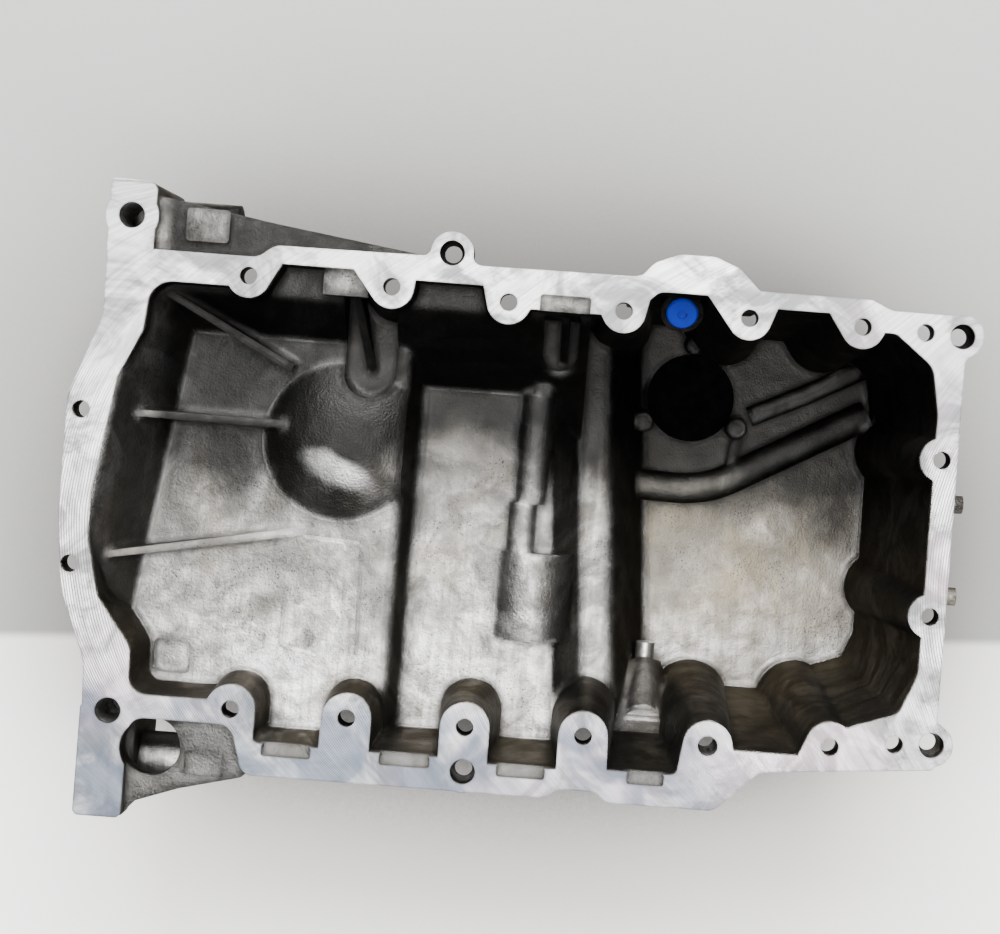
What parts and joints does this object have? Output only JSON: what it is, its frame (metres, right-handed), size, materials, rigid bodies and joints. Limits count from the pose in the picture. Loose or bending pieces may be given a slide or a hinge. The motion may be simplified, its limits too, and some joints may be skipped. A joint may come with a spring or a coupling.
{
  "type": "engine oil pan",
  "caption": "Die-cast aluminium engine oil pan: a milled bolt flange around a shallow ribbed tray that steps down to a deep well, with gearbox ears at one end.",
  "frame": {"origin": "midway between the two rearmost flange bolts, on the gasket face", "axes": "+Z is normal to the gasket face, towards the engine; +X runs forward along the engine from the gearbox end to the well; +Y runs across the pan"},
  "size_m": [0.442, 0.309, 0.1485],
  "materials": {
    "cast_aluminium": "satin",
    "blue_plastic": "gloss",
    "black_plastic": "matte",
    "plated_steel": "satin",
    "washer_aluminium": "satin"
  },
  "bodies": {
    "root": {"pan_casting": "cast_aluminium", "passage_plug": "blue_plastic", "level_port_cap": "black_plastic", "drain_plug": "plated_steel", "drain_washer": "washer_aluminium"}
  },
  "joints": []
}
